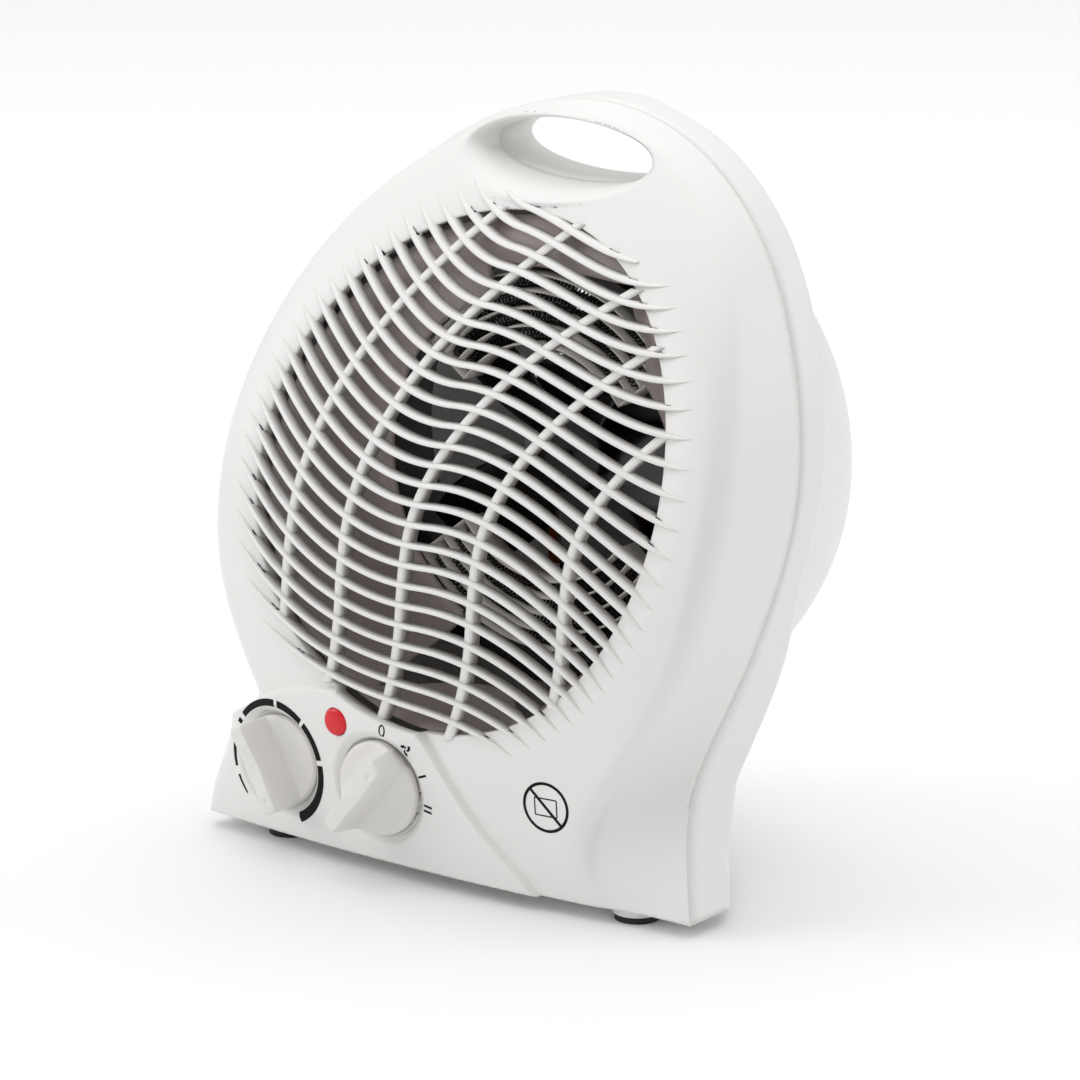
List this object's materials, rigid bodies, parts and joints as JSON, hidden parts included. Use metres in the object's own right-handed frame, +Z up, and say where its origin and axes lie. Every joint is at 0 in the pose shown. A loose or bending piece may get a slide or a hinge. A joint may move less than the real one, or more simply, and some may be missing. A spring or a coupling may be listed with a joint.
{
  "type": "portable fan heater",
  "caption": "Free-standing domestic fan heater with a louvred outlet, control dials, a pilot light, a carrying handle, a wire element and a motor-driven axial fan.",
  "frame": {"origin": "centre of the bounding box's underside, on the floor between the feet", "axes": "-Y is the front, where the warm air comes out; +X is to the right seen from the front; +Z is up"},
  "size_m": [0.216, 0.154, 0.254],
  "materials": {
    "casing_white": "fine satin moulded polypropylene",
    "knob_white": "satin moulded ABS",
    "steel": "zinc plated",
    "thermostat_frame": "moulded phenolic",
    "switch_black": "moulded nylon",
    "pilot_red": "translucent polished polycarbonate",
    "lamp_glass": "clear",
    "baffle_taupe": "moulded heat-resistant nylon",
    "mica": "pressed mica sheet",
    "heating_wire": "drawn resistance wire",
    "duct_black": "moulded glass-filled nylon",
    "fan_black": "moulded nylon",
    "rotor_steel": "turned",
    "lamination_steel": "stacked laminations",
    "copper_winding": "enamelled wire",
    "zinc_plate": "zinc plated pressing",
    "sintered_bronze": "oil-filled sintered bronze",
    "cutout_black": "phenolic",
    "ceramic_white": "glazed sleeve",
    "terminal_ivory": "moulded polyamide",
    "gland_black": "moulded",
    "foot_rubber": "matt"
  },
  "bodies": {
    "casing": {"front_casing": "casing_white", "rear_casing": "casing_white", "thermostat_body": "thermostat_frame", "selector_switch_body": "switch_black", "pilot_lens": "pilot_red", "neon_lamp": "lamp_glass", "inner_baffle": "baffle_taupe", "mica_cards_upper": "mica", "mica_cards_lower": "mica", "heating_wire_upper": "heating_wire", "heating_wire_lower": "heating_wire", "fan_duct": "duct_black", "motor_stator": "lamination_steel", "motor_winding": "copper_winding", "motor_bracket_front": "zinc_plate", "motor_bracket_rear": "zinc_plate", "bearing_bush_front": "sintered_bronze", "bearing_bush_rear": "sintered_bronze", "motor_screw_left": "steel", "motor_screw_right": "steel", "thermal_cutout": "cutout_black", "thermal_fuse": "ceramic_white", "terminal_block": "terminal_ivory", "cord_inlet": "gland_black", "foot_pad_front_right": "foot_rubber", "foot_pad_front_left": "foot_rubber", "foot_pad_rear_right": "foot_rubber", "foot_pad_rear_left": "foot_rubber", "casing_screw_lower_right": "steel", "casing_screw_lower_left": "steel", "casing_screw_upper_right": "steel", "casing_screw_upper_left": "steel"},
    "thermostat_dial": {"thermostat_knob": "knob_white", "thermostat_shaft": "steel"},
    "selector_dial": {"selector_knob": "knob_white", "selector_shaft": "steel"},
    "fan_rotor": {"fan_impeller": "fan_black", "motor_shaft": "steel", "motor_rotor": "rotor_steel"}
  },
  "joints": [
    {"name": "thermostat_turn", "type": "hinge", "parent": "casing", "child": "thermostat_dial", "pos_m": [-0.065, -0.065, 0.0315], "axis": [0, 1, 0], "range_deg": [-283, 0]},
    {"name": "selector_turn", "type": "hinge", "parent": "casing", "child": "selector_dial", "pos_m": [-0.0177, -0.07, 0.032], "axis": [0, 1, 0], "range_deg": [-30, 60]},
    {"name": "fan_spin", "type": "hinge", "parent": "casing", "child": "fan_rotor", "pos_m": [0, 0.024, 0.134], "axis": [0, 1, 0], "continuous": true}
  ]
}
